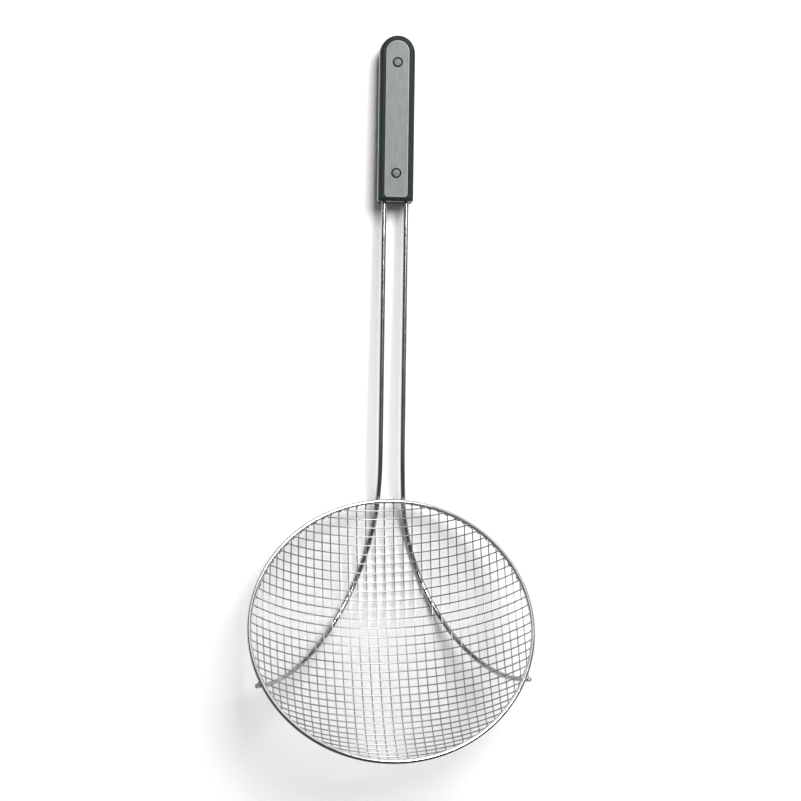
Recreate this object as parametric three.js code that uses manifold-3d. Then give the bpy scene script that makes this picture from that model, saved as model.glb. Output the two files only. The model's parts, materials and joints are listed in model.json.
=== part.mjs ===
// A long-handled wire skimmer: a bowl of welded wire mesh in a round rim, carried by two bent rods
// that end in a riveted grip. Millimetres, +Z up. It lies on a table as it is put down, on the two
// rods under the bowl and on the end of the grip, with the bowl open upwards.
import * as THREE from 'three';
import { mergeVertices } from 'three/addons/utils/BufferGeometryUtils.js';
import Module from 'manifold-3d';

// Rim and bowl
const RIM_DIAMETER = 200; // over the outside of the hoop
const RIM_WIRE = 3.2;
const BOWL_DEPTH = 52; // from the rim's plane to the middle of the mesh
const BOWL_TILT = THREE.MathUtils.degToRad(28); // the rim's plane against the grip's face

// Mesh sheet, pressed to a sphere
const MESH_WIRE = 1;
const MESH_PITCH = 6.65;
const MESH_EVERY = 2; // of the sheet's wires, every second one is built
const MESH_SHIFT = 1.9; // the sheet's middle knot lies this far from the bowl's middle, towards the grip
const MESH_TURN = THREE.MathUtils.degToRad(2.65); // the sheet against the grip, seen from the mouth

// Rods
const ROD_DIAMETER = 3.6;
const ROD_SPACING = 15.7; // between axes along the straight run
const ROD_SPACING_AT_RIM = 18.2; // where they pass under the rim on the grip's side
const ROD_SPACING_AT_MIDDLE = 111; // where they cross the bowl's middle line
const ROD_EXIT_ANGLE = THREE.MathUtils.degToRad(113.3); // round the rim, from the grip to the far crossing
const ROD_SKEW = THREE.MathUtils.degToRad(2.1); // the pair's turn under the bowl, in the sheet's sense
const ROD_STUB = 1.3; // from the middle of that crossing to the rods' ends
const ROD_STRAIGHT = 168; // from the knee to the grip
const ROD_END_INSET = 22; // from the rods' ends inside the grip to its round end
const KNEE_DROP = 8.5; // from the straight run down to the crossing under the rim
const KNEE_RUN = 44; // along the grip's direction, from the crossing to the straight run
const KNEE_LEAD = 16; // how far the rod keeps its slope past the crossing
const KNEE_TAIL = 22; // how far before the straight run it is level

// Grip
const GRIP_LENGTH = 118;
const SCALE_SIDE_WALL = 2.15; // plastic outside each rod's groove
const FRONT_SCALE_THICKNESS = 7.1;
const BACK_SCALE_THICKNESS = 12.8;
const SCALE_EDGE_RADIUS = 2;
const TANG_THICKNESS = 1.5;
const TANG_REVEAL = 0.8; // how far the tang's edge stands proud of the scales
const PLATE_MARGIN = 3.75; // scale left showing along the plate's sides and round end
const PLATE_FOOT_MARGIN = 2.3; // and at its square end
const PLATE_THICKNESS = 1.5;
const PLATE_PROUD = 0.6;
const PLATE_FOOT_RADIUS = 2.6;
const PLATE_EDGE = 0.5; // bevel round the plate's outer face
const RIVET_INSET = 19.5; // from each end of the grip
const RIVET_SHANK = 4;
const RIVET_HEAD = 5.6;
const RIVET_HEAD_HEIGHT = 0.7;
const RIVET_DOME = 0.1; // rise of the head's top over its crown's edge
const RIVET_RING = 0.75; // sunk ring in the plate round each head
const PLATE_UNDER_HEAD = 0.7; // what is left of the plate there

const CLEARANCE = 0.3; // between pieces that touch on the real tool

// Facets
const ROD_SIDES = 8;
const ROD_STEPS = 64;
const RIM_SIDES = 8;
const RIM_STEPS = 72;
const ROUND_SIDES = 16;
const SCALE_EDGE_STEPS = 3;
const PLATE_EDGE_STEPS = 1;

const REST_PASSES = 8; // of the search for how the tool lies

const wasm = await Module();
wasm.setup();

const steel = new THREE.MeshStandardMaterial({ color: 0xc4c7c6, roughness: 0.22, metalness: 1 });
const satinSteel = new THREE.MeshStandardMaterial({ color: 0xa3a6a3, roughness: 0.42, metalness: 1 });
const plastic = new THREE.MeshStandardMaterial({ color: 0x222a27, roughness: 0.38, metalness: 0 });

function named(name, geometry, material) {
  const mesh = new THREE.Mesh(geometry, material);
  mesh.name = name;
  return mesh;
}

function welded(geometry) {
  const plain = geometry.clone();
  plain.deleteAttribute('normal');
  plain.deleteAttribute('uv');
  return mergeVertices(plain, 1e-4);
}

function solidOf(geometry) {
  const closed = welded(geometry);
  return new wasm.Manifold(new wasm.Mesh({
    numProp: 3,
    vertProperties: new Float32Array(closed.attributes.position.array),
    triVerts: new Uint32Array(closed.index.array),
  }));
}

function geometryOf(solid) {
  const { vertProperties, triVerts } = solid.getMesh();
  const geometry = new THREE.BufferGeometry();
  geometry.setAttribute('position', new THREE.BufferAttribute(new Float32Array(vertProperties), 3));
  geometry.setIndex(new THREE.BufferAttribute(new Uint32Array(triVerts), 1));
  geometry.computeVertexNormals();
  return geometry;
}

function cut(geometry, tools) {
  return geometryOf(tools.reduce((solid, tool) => solid.subtract(solidOf(tool)), solidOf(geometry)));
}

// The bowl is a cap of a sphere whose edge lies in the rim's wire. Its own axes are across (X),
// towards the grip in the rim's plane, and out of the bowl's mouth.
const rimRadius = (RIM_DIAMETER - RIM_WIRE) / 2;
const bowlRadius = (rimRadius ** 2 + BOWL_DEPTH ** 2) / (2 * BOWL_DEPTH);
const rimPolar = Math.acos((bowlRadius - BOWL_DEPTH) / bowlRadius); // from the bowl's middle to its edge
const across = new THREE.Vector3(1, 0, 0);
const towardsGrip = new THREE.Vector3(0, Math.cos(BOWL_TILT), -Math.sin(BOWL_TILT));
const mouth = new THREE.Vector3(0, Math.sin(BOWL_TILT), Math.cos(BOWL_TILT));

// A direction from the sphere's centre: polar is measured from the bowl's middle, azimuth from the grip.
function bowlDirection(polar, azimuth) {
  return new THREE.Vector3()
    .addScaledVector(across, Math.sin(polar) * Math.sin(azimuth))
    .addScaledVector(towardsGrip, Math.sin(polar) * Math.cos(azimuth))
    .addScaledVector(mouth, -Math.cos(polar));
}

// The rods hug a slightly larger sphere, clear of the rim's wire, on an arc through three places.
const rodRadius = ROD_DIAMETER / 2;
const rodSphere = bowlRadius + Math.max(RIM_WIRE / 2, MESH_WIRE) + CLEARANCE + rodRadius;
const entryAzimuth = Math.asin(ROD_SPACING_AT_RIM / 2 / (rodSphere * Math.sin(rimPolar)));
const middlePolar = Math.asin(ROD_SPACING_AT_MIDDLE / 2 / rodSphere);

// Origin of this frame: level with the straight run of the rods, above their crossing under the rim.
const entryFromCentre = bowlDirection(rimPolar, entryAzimuth).multiplyScalar(rodSphere);
const bowlCentre = new THREE.Vector3(0, -entryFromCentre.y, -KNEE_DROP - entryFromCentre.z);
const gripFoot = KNEE_RUN + ROD_STRAIGHT;
const gripEnd = gripFoot + GRIP_LENGTH;
const rodEnd = gripEnd - ROD_END_INSET;

// A circular arc in space from one point through a second to a third, and on by an extra length.
class ArcThrough extends THREE.Curve {
  constructor(start, middle, end, extra) {
    super();
    const toMiddle = middle.clone().sub(start);
    const toEnd = end.clone().sub(start);
    const axis = toMiddle.clone().cross(toEnd);
    const towardsCentre = toEnd.clone().multiplyScalar(toMiddle.lengthSq())
      .sub(toMiddle.clone().multiplyScalar(toEnd.lengthSq()))
      .cross(axis).divideScalar(2 * axis.lengthSq());
    this.centre = start.clone().add(towardsCentre);
    this.radius = towardsCentre.length();
    this.first = start.clone().sub(this.centre).normalize();
    this.second = axis.normalize().cross(this.first);
    const last = end.clone().sub(this.centre);
    const sweep = Math.atan2(last.dot(this.second), last.dot(this.first));
    this.sweep = THREE.MathUtils.euclideanModulo(sweep, 2 * Math.PI) + extra / this.radius;
  }

  getPoint(t, target = new THREE.Vector3()) {
    const angle = this.sweep * t;
    return target.copy(this.centre)
      .addScaledVector(this.first, this.radius * Math.cos(angle))
      .addScaledVector(this.second, this.radius * Math.sin(angle));
  }
}

// One rod from its end inside the grip to its stub past the rim; side is 1 on the right, -1 on the left.
function rodPath(side) {
  const place = (polar, azimuth) => bowlDirection(polar, azimuth)
    .multiplyScalar(rodSphere).add(bowlCentre);
  const entry = place(rimPolar, side * entryAzimuth);
  const middle = place(middlePolar, side * Math.PI / 2 - ROD_SKEW);
  const exit = place(rimPolar, side * ROD_EXIT_ANGLE - ROD_SKEW);
  const arc = new ArcThrough(entry, middle, exit, ROD_STUB);
  const slope = arc.getTangent(0);
  const x = side * ROD_SPACING / 2;
  const kneeTop = new THREE.Vector3(x, KNEE_RUN, 0);
  const path = new THREE.CurvePath();
  path.add(new THREE.LineCurve3(new THREE.Vector3(x, rodEnd, 0), kneeTop));
  path.add(new THREE.CubicBezierCurve3(
    kneeTop,
    new THREE.Vector3(x, KNEE_RUN - KNEE_TAIL, 0),
    entry.clone().addScaledVector(slope, -KNEE_LEAD),
    entry,
  ));
  path.add(arc);
  return path;
}

function rod(side) {
  const section = new THREE.Shape().absarc(0, 0, rodRadius, 0, 2 * Math.PI);
  return new THREE.ExtrudeGeometry(section, {
    steps: ROD_STEPS,
    curveSegments: ROD_SIDES / 2, // an arc takes two points for each
    extrudePath: rodPath(side),
  });
}

function rimHoop() {
  const hoop = new THREE.TorusGeometry(rimRadius, RIM_WIRE / 2, RIM_SIDES, RIM_STEPS);
  const axes = new THREE.Matrix4().makeBasis(across, towardsGrip, mouth);
  axes.setPosition(bowlCentre.clone().addScaledVector(mouth, BOWL_DEPTH - bowlRadius));
  return hoop.applyMatrix4(axes);
}

// Knots of the pressed sheet as directions from the sphere's centre. The wires keep their spacing as
// they are pressed, so each cell is a rhombus: a knot is the mirror image of the one across its cell in
// the plane through the sphere's centre and the two knots between them. One quarter of the sheet is
// worked out round its middle knot, and the others mirror it.
const sheetReach = MESH_EVERY * Math.ceil((rimPolar * bowlRadius + MESH_SHIFT) / MESH_PITCH / MESH_EVERY);

function sheetKnots() {
  const step = MESH_PITCH / bowlRadius;
  const quarter = [];
  for (let i = 0; i <= sheetReach; i += 1) {
    quarter.push([]);
    for (let j = 0; j <= sheetReach; j += 1) {
      if (i === 0 || j === 0) {
        quarter[i].push(new THREE.Vector3(
          Math.sin(i * step),
          Math.sin(j * step),
          -Math.cos((i + j) * step),
        ));
      } else {
        const mirror = quarter[i - 1][j].clone().cross(quarter[i][j - 1]).normalize();
        quarter[i].push(quarter[i - 1][j - 1].clone().reflect(mirror));
      }
    }
  }
  const shift = MESH_SHIFT / bowlRadius;
  return (i, j) => {
    const knot = quarter[Math.abs(i)]?.[Math.abs(j)];
    if (!knot) return null;
    const local = new THREE.Vector3(Math.sign(i) * knot.x, Math.sign(j) * knot.y, knot.z)
      .applyAxisAngle(new THREE.Vector3(1, 0, 0), shift)
      .applyAxisAngle(new THREE.Vector3(0, 0, 1), MESH_TURN);
    return new THREE.Vector3()
      .addScaledVector(across, local.x)
      .addScaledVector(towardsGrip, local.y)
      .addScaledVector(mouth, local.z);
  };
}

// The mesh bowl: wires across the bowl lie in an inner layer, wires along it in an outer layer, and
// they are fused at each knot. A knot is a block of two layers on the sphere. Its corners are numbered
// round the block as seen from inside the bowl, on three levels: 0 outer, 1 between layers, 2 inner.
function meshBowl() {
  const knotAt = sheetKnots();
  const pole = mouth.clone().negate();
  const wireEnd = rimPolar - (RIM_WIRE / 2 + CLEARANCE + MESH_WIRE / 2) / bowlRadius;
  const lastKnot = wireEnd - MESH_WIRE / bowlRadius;
  const half = MESH_WIRE / 2;
  const positions = [];
  const triangles = [];

  const quad = (a, b, c, d) => triangles.push(a, b, c, a, c, d);

  function block(direction, u, v) {
    const slant = half / u.clone().cross(v).length();
    const corners = [[-1, -1], [1, -1], [1, 1], [-1, 1]];
    return [MESH_WIRE, 0, -MESH_WIRE].map((out) => corners.map(([su, sv]) => {
      const corner = bowlCentre.clone().addScaledVector(direction, bowlRadius + out)
        .addScaledVector(u, su * slant).addScaledVector(v, sv * slant);
      positions.push(corner.x, corner.y, corner.z);
      return positions.length / 3 - 1;
    }));
  }

  // A wire between two blocks, from face (c1, c2) of the first to face (d1, d2) of the second.
  function wire(first, second, level, [c1, c2], [d1, d2]) {
    const [low, high] = [first[level], first[level + 1]];
    const [farLow, farHigh] = [second[level], second[level + 1]];
    quad(low[c1], low[c2], farLow[d2], farLow[d1]);
    quad(high[c1], farHigh[d1], farHigh[d2], high[c2]);
    quad(low[c2], high[c2], farHigh[d2], farLow[d2]);
    quad(low[c1], farLow[d1], farHigh[d1], high[c1]);
  }

  const close = (knot, level, [c1, c2]) => quad(
    knot[level][c1], knot[level][c2], knot[level + 1][c2], knot[level + 1][c1],
  );

  const inside = (i, j) => {
    const direction = knotAt(i, j);
    return direction !== null && direction.angleTo(pole) < lastKnot;
  };

  const tangent = (i, j, di, dj) => {
    const direction = knotAt(i, j);
    const ahead = knotAt(i + di, j + dj);
    const behind = knotAt(i - di, j - dj);
    return (ahead ?? direction).clone().sub(behind ?? direction)
      .projectOnPlane(direction).normalize();
  };

  const blocks = new Map();
  for (let i = -sheetReach; i <= sheetReach; i += MESH_EVERY) {
    for (let j = -sheetReach; j <= sheetReach; j += MESH_EVERY) {
      if (inside(i, j)) {
        const u = tangent(i, j, 1, 0);
        const v = tangent(i, j, 0, 1);
        const direction = knotAt(i, j);
        blocks.set(`${i},${j}`, { i, j, u, v, direction, corners: block(direction, u, v) });
      }
    }
  }

  // Faces of a block: ahead and behind along each wire, as corner pairs running anticlockwise.
  const faces = {
    u: { level: 1, ahead: [1, 2], behind: [3, 0], di: MESH_EVERY, dj: 0 },
    v: { level: 0, ahead: [2, 3], behind: [0, 1], di: 0, dj: MESH_EVERY },
  };
  const turned = ([c1, c2]) => [c2, c1];

  for (const knot of blocks.values()) {
    const [outer, , inner] = knot.corners;
    quad(inner[0], inner[1], inner[2], inner[3]);
    quad(outer[3], outer[2], outer[1], outer[0]);
    for (const along of ['u', 'v']) {
      const { level, ahead, behind, di, dj } = faces[along];
      close(knot.corners, 1 - level, ahead);
      close(knot.corners, 1 - level, behind);
      for (const sense of [1, -1]) {
        const here = sense > 0 ? ahead : behind;
        const there = turned(sense > 0 ? behind : ahead);
        const next = blocks.get(`${knot.i + sense * di},${knot.j + sense * dj}`);
        if (next) {
          if (sense > 0) wire(knot.corners, next.corners, level, here, there);
        } else {
          const run = knot[along].clone().multiplyScalar(sense);
          const towards = knot.direction.dot(pole);
          const away = run.dot(pole);
          const angle = Math.atan2(away, towards)
            + Math.acos(Math.cos(wireEnd) / Math.hypot(towards, away));
          const turn = knot.direction.clone().cross(run).normalize();
          const end = block(
            knot.direction.clone().applyAxisAngle(turn, angle),
            knot.u.clone().applyAxisAngle(turn, angle),
            knot.v.clone().applyAxisAngle(turn, angle),
          );
          wire(knot.corners, end, level, here, there);
          close(end, level, there);
        }
      }
    }
  }

  const geometry = new THREE.BufferGeometry();
  geometry.setAttribute('position', new THREE.Float32BufferAttribute(positions, 3));
  geometry.setIndex(triangles);
  return geometry;
}

// Outline of a grip piece: square foot, with corners rounded if asked, and a round end.
function gripOutline(width, foot, end, footRadius = 0) {
  const side = width / 2;
  const cornerY = foot + footRadius;
  const shape = new THREE.Shape();
  shape.moveTo(-side + footRadius, foot);
  shape.lineTo(side - footRadius, foot);
  if (footRadius > 0) shape.absarc(side - footRadius, cornerY, footRadius, -Math.PI / 2, 0);
  shape.lineTo(side, end - side);
  shape.absarc(0, end - side, side, 0, Math.PI);
  shape.lineTo(-side, cornerY);
  if (footRadius > 0) shape.absarc(footRadius - side, cornerY, footRadius, Math.PI, 1.5 * Math.PI);
  shape.closePath();
  return shape;
}

function slab(shape, bottom, top) {
  return new THREE.ExtrudeGeometry(shape, {
    depth: top - bottom,
    bevelEnabled: false,
    curveSegments: ROUND_SIDES / 2,
  }).translate(0, 0, bottom);
}

// A slab whose upper edge is rounded or bevelled all round; its lower face lies at zero.
function edgedSlab(shape, thickness, edge, segments) {
  const bothEdges = new THREE.ExtrudeGeometry(shape, {
    depth: thickness,
    bevelThickness: edge,
    bevelSize: edge,
    bevelOffset: -edge,
    bevelSegments: segments,
    curveSegments: ROUND_SIDES / 2,
  }).translate(0, 0, -edge);
  const { min, max } = new THREE.Box3().setFromBufferAttribute(bothEdges.attributes.position);
  const below = new THREE.BoxGeometry(2 * (max.x - min.x), 2 * (max.y - min.y), 2 * edge)
    .translate((min.x + max.x) / 2, (min.y + max.y) / 2, -edge);
  return cut(bothEdges, [below]);
}

function roundBar(diameter, y, bottom, top) {
  return new THREE.CylinderGeometry(diameter / 2, diameter / 2, top - bottom, ROUND_SIDES)
    .rotateX(Math.PI / 2).translate(0, y, (bottom + top) / 2);
}

// Heights in the grip, from the rods' axes: the rods lie in the back scale under the tang.
const backScaleTop = rodRadius;
const tangBottom = backScaleTop + CLEARANCE;
const tangTop = tangBottom + TANG_THICKNESS;
const frontScaleBottom = tangTop + CLEARANCE;
const rivetPlaces = { lower: gripFoot + RIVET_INSET, upper: gripEnd - RIVET_INSET };
const rivetHole = RIVET_SHANK + 2 * CLEARANCE;
const grooveWidth = ROD_DIAMETER + 2 * CLEARANCE;
const scaleWidth = ROD_SPACING + grooveWidth + 2 * SCALE_SIDE_WALL;
const plateWidth = scaleWidth - 2 * PLATE_MARGIN;
const plateSeat = PLATE_THICKNESS - PLATE_PROUD + CLEARANCE; // depth of the pocket in the scale

// A scale lying on its inner face, with the plate's pocket in its outer face and the rivet holes.
function scale(thickness) {
  const body = edgedSlab(
    gripOutline(scaleWidth, gripFoot, gripEnd), thickness, SCALE_EDGE_RADIUS, SCALE_EDGE_STEPS,
  );
  const pocket = slab(
    gripOutline(
      plateWidth + 2 * CLEARANCE,
      gripFoot + PLATE_FOOT_MARGIN - CLEARANCE,
      gripEnd - PLATE_MARGIN + CLEARANCE,
      PLATE_FOOT_RADIUS + CLEARANCE,
    ),
    thickness - plateSeat,
    thickness + CLEARANCE,
  );
  const holes = Object.values(rivetPlaces)
    .map((y) => roundBar(rivetHole, y, -CLEARANCE, thickness));
  return cut(body, [pocket, ...holes]);
}

// Turns a piece that lies on its inner face over, for the back of the grip.
const flipped = (geometry) => geometry.rotateY(Math.PI);

function frontScale() {
  return scale(FRONT_SCALE_THICKNESS).translate(0, 0, frontScaleBottom);
}

function backScale() {
  const grooveDepth = ROD_DIAMETER + CLEARANCE;
  const grooveLength = rodEnd - gripFoot + 2 * CLEARANCE;
  const grooves = [-1, 1].map((side) => new THREE.BoxGeometry(grooveWidth, grooveLength, 2 * grooveDepth)
    .translate(side * ROD_SPACING / 2, gripFoot + grooveLength / 2 - CLEARANCE, backScaleTop));
  return cut(flipped(scale(BACK_SCALE_THICKNESS)).translate(0, 0, backScaleTop), grooves);
}

function tang() {
  const outline = gripOutline(scaleWidth + 2 * TANG_REVEAL, gripFoot, gripEnd + TANG_REVEAL);
  const holes = Object.values(rivetPlaces).map((y) => roundBar(rivetHole, y, 0, tangTop + CLEARANCE));
  return cut(slab(outline, tangBottom, tangTop), holes);
}

// A cover plate lying on its inner face, with a sunk seat for each rivet head.
function plate() {
  const outline = gripOutline(
    plateWidth,
    gripFoot + PLATE_FOOT_MARGIN,
    gripEnd - PLATE_MARGIN,
    PLATE_FOOT_RADIUS,
  );
  const seats = Object.values(rivetPlaces).flatMap((y) => [
    roundBar(rivetHole, y, -CLEARANCE, PLATE_THICKNESS),
    roundBar(RIVET_HEAD + 2 * RIVET_RING, y, PLATE_UNDER_HEAD, PLATE_THICKNESS + CLEARANCE),
  ]);
  return cut(edgedSlab(outline, PLATE_THICKNESS, PLATE_EDGE, PLATE_EDGE_STEPS), seats);
}

const frontFace = frontScaleBottom + FRONT_SCALE_THICKNESS;
const backFace = backScaleTop - BACK_SCALE_THICKNESS;
const frontPlateTop = frontFace + PLATE_PROUD;
const backPlateTop = backFace - PLATE_PROUD;

// A solid rivet with a low domed head at each end, each seated in its plate's recess.
function rivet(y) {
  const headSeat = PLATE_THICKNESS - PLATE_UNDER_HEAD - CLEARANCE; // below the plate's face
  const ends = [
    { seat: backPlateTop + headSeat, out: -1 },
    { seat: frontPlateTop - headSeat, out: 1 },
  ];
  const [back, front] = ends.map(({ seat, out }) => [
    new THREE.Vector2(RIVET_SHANK / 2, seat),
    new THREE.Vector2(RIVET_HEAD / 2, seat),
    new THREE.Vector2(RIVET_HEAD / 2, seat + out * RIVET_HEAD_HEIGHT / 2),
    new THREE.Vector2(RIVET_SHANK / 2, seat + out * (RIVET_HEAD_HEIGHT - RIVET_DOME)),
    new THREE.Vector2(0, seat + out * RIVET_HEAD_HEIGHT),
  ]);
  return new THREE.LatheGeometry([...back.reverse(), ...front], ROUND_SIDES)
    .rotateX(Math.PI / 2).translate(0, y, 0);
}

// The tool with its grip level.
const tool = new THREE.Group();
tool.add(
  named('rim_hoop', rimHoop(), steel),
  named('mesh_bowl', meshBowl(), steel),
  named('left_rod', rod(-1), steel),
  named('right_rod', rod(1), steel),
  named('tang', tang(), satinSteel),
  named('front_scale', frontScale(), plastic),
  named('back_scale', backScale(), plastic),
  named('front_plate', plate().translate(0, 0, frontPlateTop - PLATE_THICKNESS), satinSteel),
  named('back_plate', flipped(plate()).translate(0, 0, backPlateTop + PLATE_THICKNESS), satinSteel),
  named('upper_rivet', rivet(rivetPlaces.upper), steel),
  named('lower_rivet', rivet(rivetPlaces.lower), steel),
);

// Laid down, the tool leans until the bowl's end and the grip both touch the table. The turn about X
// is found from their lowest points, which shift a little as it is turned.
const gripNames = ['back_scale', 'back_plate', 'upper_rivet', 'lower_rivet'];
const gripPieces = tool.children.filter((piece) => gripNames.includes(piece.name));
const bowlPieces = tool.children.filter((piece) => !gripNames.includes(piece.name));

function lowestPoint(pieces, turn) {
  const height = (point) => point.y * Math.sin(turn) + point.z * Math.cos(turn);
  const lowest = new THREE.Vector3(0, 0, Infinity);
  const point = new THREE.Vector3();
  for (const { geometry: { attributes: { position } } } of pieces) {
    for (let index = 0; index < position.count; index += 1) {
      point.fromBufferAttribute(position, index);
      if (height(point) < height(lowest)) lowest.copy(point);
    }
  }
  return lowest;
}

for (let pass = 0; pass < REST_PASSES; pass += 1) {
  const belly = lowestPoint(bowlPieces, tool.rotation.x);
  const heel = lowestPoint(gripPieces, tool.rotation.x);
  tool.rotation.x = Math.atan2(belly.z - heel.z, heel.y - belly.y);
}

// The frame's origin is on the table, under the middle of the tool's box.
const skimmer = new THREE.Group();
skimmer.add(tool);
skimmer.updateMatrixWorld(true);
const box = new THREE.Box3().setFromObject(tool, true);
const middle = box.getCenter(new THREE.Vector3());
tool.position.set(-middle.x, -middle.y, -box.min.z);
skimmer.updateMatrixWorld(true);

export default skimmer;
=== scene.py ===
import json
import math

import bmesh
import bpy
import numpy as np
from mathutils import Matrix
from mathutils.geometry import tessellate_polygon


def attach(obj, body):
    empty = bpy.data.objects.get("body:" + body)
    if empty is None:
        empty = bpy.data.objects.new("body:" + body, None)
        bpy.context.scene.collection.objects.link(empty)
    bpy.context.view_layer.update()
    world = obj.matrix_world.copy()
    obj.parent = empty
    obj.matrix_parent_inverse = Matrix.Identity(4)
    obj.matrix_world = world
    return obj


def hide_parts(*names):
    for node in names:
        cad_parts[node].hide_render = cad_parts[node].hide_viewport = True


# A long-handled wire skimmer lying on a pale table: a bowl of welded mesh in a round rim, two bent rods
# under it, and a riveted grip. Every surface is worked out in the tool's own frame, in millimetres, and
# put into the world in metres by the pose that the front plate's mount gives.
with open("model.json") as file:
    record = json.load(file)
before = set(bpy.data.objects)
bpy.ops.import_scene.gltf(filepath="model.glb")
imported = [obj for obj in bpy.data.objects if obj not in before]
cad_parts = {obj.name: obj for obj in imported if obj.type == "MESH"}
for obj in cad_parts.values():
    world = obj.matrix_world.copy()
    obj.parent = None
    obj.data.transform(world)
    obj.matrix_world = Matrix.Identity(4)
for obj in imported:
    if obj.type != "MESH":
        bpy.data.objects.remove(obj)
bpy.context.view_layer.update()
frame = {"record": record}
MM = 0.001

# Rim and bowl
RIM_DIAMETER = 200.0
RIM_WIRE = 3.2
BOWL_DEPTH = 52.0
BOWL_TILT = math.radians(28.0)
CLEARANCE = 0.3

# Mesh sheet: all the wires of the real one
MESH_WIRE = 0.9  # the solids, which have half the wires, have thicker ones
MESH_PITCH = 6.65
MESH_SHIFT = 1.9
MESH_TURN = math.radians(2.65)
MESH_SINK = 0.08  # how far crossing wires are pressed into each other by the welds
WIRE_STEPS = 72
WIRE_SIDES = 8
WIRE_FINE_STEPS = 40  # for each cell, to find where a wire meets the rim
NUGGET_INSET = 1.5  # from the middle of the rim's wire, towards the bowl's middle
NUGGET_DROP = 0.45  # below the rim's plane
NUGGET_STRETCH = 2.6  # at most, where a wire meets the rim at a slant
NUGGET_GRID = (7, 12)
ACROSS_NUGGET = (0.6, 0.5, 0.7)  # half sizes along the rim, across it and out of the mouth
ALONG_NUGGET = (0.75, 0.6, 0.85)
WIRE_SHARP = 80.0  # degrees, so that the few sides of a wire shade as one round surface

# Rods
ROD_DIAMETER = 3.6
ROD_SPACING = 15.7
ROD_SPACING_AT_RIM = 18.2
ROD_SPACING_AT_MIDDLE = 111.0
ROD_EXIT_ANGLE = math.radians(113.3)
ROD_SKEW = math.radians(2.1)
ROD_STUB = 1.3
ROD_END_EDGE = 0.7  # rounding of the rods' cut ends
ROD_DULL_FROM = 58.0  # before its end under the rim, where a rod begins to be dulled by the welding
ROD_DULL_FULL = 30.0
ROD_STRAIGHT = 168.0
ROD_END_INSET = 22.0
KNEE_DROP = 8.5
KNEE_RUN = 44.0
KNEE_LEAD = 16.0
KNEE_TAIL = 22.0
ROD_SIDES = 24
STRAIGHT_STEPS = 24
KNEE_STEPS = 40
ARC_STEPS = 120

# Weld beads of the rods on the rim
BEAD_HALF_SIZES = (2.5, 1.5, 1.6)  # along the rim, across it and outwards
BEAD_SINK = 0.1  # into the rim
BEAD_SWELL = 0.07
BEAD_GRID = (13, 20)

# Grip
GRIP_LENGTH = 118.0
SCALE_SIDE_WALL = 2.15
FRONT_SCALE_THICKNESS = 7.1
BACK_SCALE_THICKNESS = 12.8
SCALE_EDGE_RADIUS = 2.0
SCALE_FOOT_CORNER = 0.8
SCALE_CORNER_GROWTH = 0.4  # how far the foot's corners open as the edge rolls over
SCALE_SEAM_BREAK = 0.25  # small bevel along the tang
SCALE_EDGE_STEPS = 10
TANG_THICKNESS = 1.5
TANG_REVEAL = 0.8
TANG_CORNER = 1.2
TANG_EDGE_STEPS = 9
PLATE_MARGIN = 3.75
PLATE_FOOT_MARGIN = 2.3
PLATE_THICKNESS = 1.5
PLATE_PROUD = 0.6
PLATE_FOOT_RADIUS = 2.6
PLATE_EDGE = 0.5
PLATE_EDGE_STEPS = 7
# painted highlight on the plate's side, as a share of that on its bevel
PLATE_SIDE_HIGHLIGHT = 0.5
PLATE_SEAM = 0.12  # dark line between a plate and its pocket
POCKET_LIP = 0.2
POCKET_LIP_STEPS = 5
HOLD = 0.12  # distance of the ring that keeps a flat face flat up to its rounded edge
RIVET_INSET = 19.5
RIVET_SHANK = 4.0
RIVET_HEAD = 5.6
RIVET_HEAD_HEIGHT = 0.7
RIVET_RING = 0.75
RIVET_ROLL = 0.3  # rounding of a head's rim
RIVET_ROLL_STEPS = 6
RIVET_DOME = 0.1  # rise of a head's crown
RIVET_DOME_STEPS = 10
RIVET_SIDES = 40
RIVET_RIM_SHADE = 0.2  # painted shade where the rolled rim meets the crown
PLATE_UNDER_HEAD = 0.7
HOLE_BREAK = 0.12  # bevel of a plate's round holes
HOLE_SIDES = 48

# Places along the tool, from the rods' crossing under the rim, and heights from the rods' axes
rim_radius = (RIM_DIAMETER - RIM_WIRE) / 2
bowl_radius = (rim_radius**2 + BOWL_DEPTH**2) / (2 * BOWL_DEPTH)
rim_polar = math.acos((bowl_radius - BOWL_DEPTH) / bowl_radius)
rod_radius = ROD_DIAMETER / 2
rod_sphere = bowl_radius + max(RIM_WIRE / 2, MESH_WIRE) + CLEARANCE + rod_radius
grip_foot = KNEE_RUN + ROD_STRAIGHT
grip_end = grip_foot + GRIP_LENGTH
scale_half = (ROD_SPACING + ROD_DIAMETER + 2 * CLEARANCE) / 2 + SCALE_SIDE_WALL
plate_half = scale_half - PLATE_MARGIN
plate_foot = grip_foot + PLATE_FOOT_MARGIN
plate_end = grip_end - PLATE_MARGIN
back_scale_top = rod_radius
tang_bottom = back_scale_top + CLEARANCE
tang_top = tang_bottom + TANG_THICKNESS
front_scale_bottom = tang_top + CLEARANCE
front_face = front_scale_bottom + FRONT_SCALE_THICKNESS
back_face = back_scale_top - BACK_SCALE_THICKNESS
grip_middle_height = (front_face + back_face) / 2
plate_top = front_face + PLATE_PROUD
rivet_places = {"lower_rivet": grip_foot + RIVET_INSET, "upper_rivet": grip_end - RIVET_INSET}


def unit(vectors):
    """Vectors scaled to length one."""
    return vectors / np.linalg.norm(vectors, axis=-1, keepdims=True)


# The tool's pose: its axes and origin follow from the mount in the middle of the front plate
mount = next(m for m in frame["record"]["mounts"] if m["name"] == "grip_front")
tool_right = np.array([1.0, 0.0, 0.0])
tool_up = unit(np.array(mount["axis"]))
tool_along = np.cross(tool_up, tool_right)
tool_axes = np.array([tool_right, tool_along, tool_up])
mount_in_tool = np.array([0.0, (plate_foot + plate_end) / 2, plate_top])
tool_origin = np.array(mount["pos_m"]) / MM - mount_in_tool @ tool_axes


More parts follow.
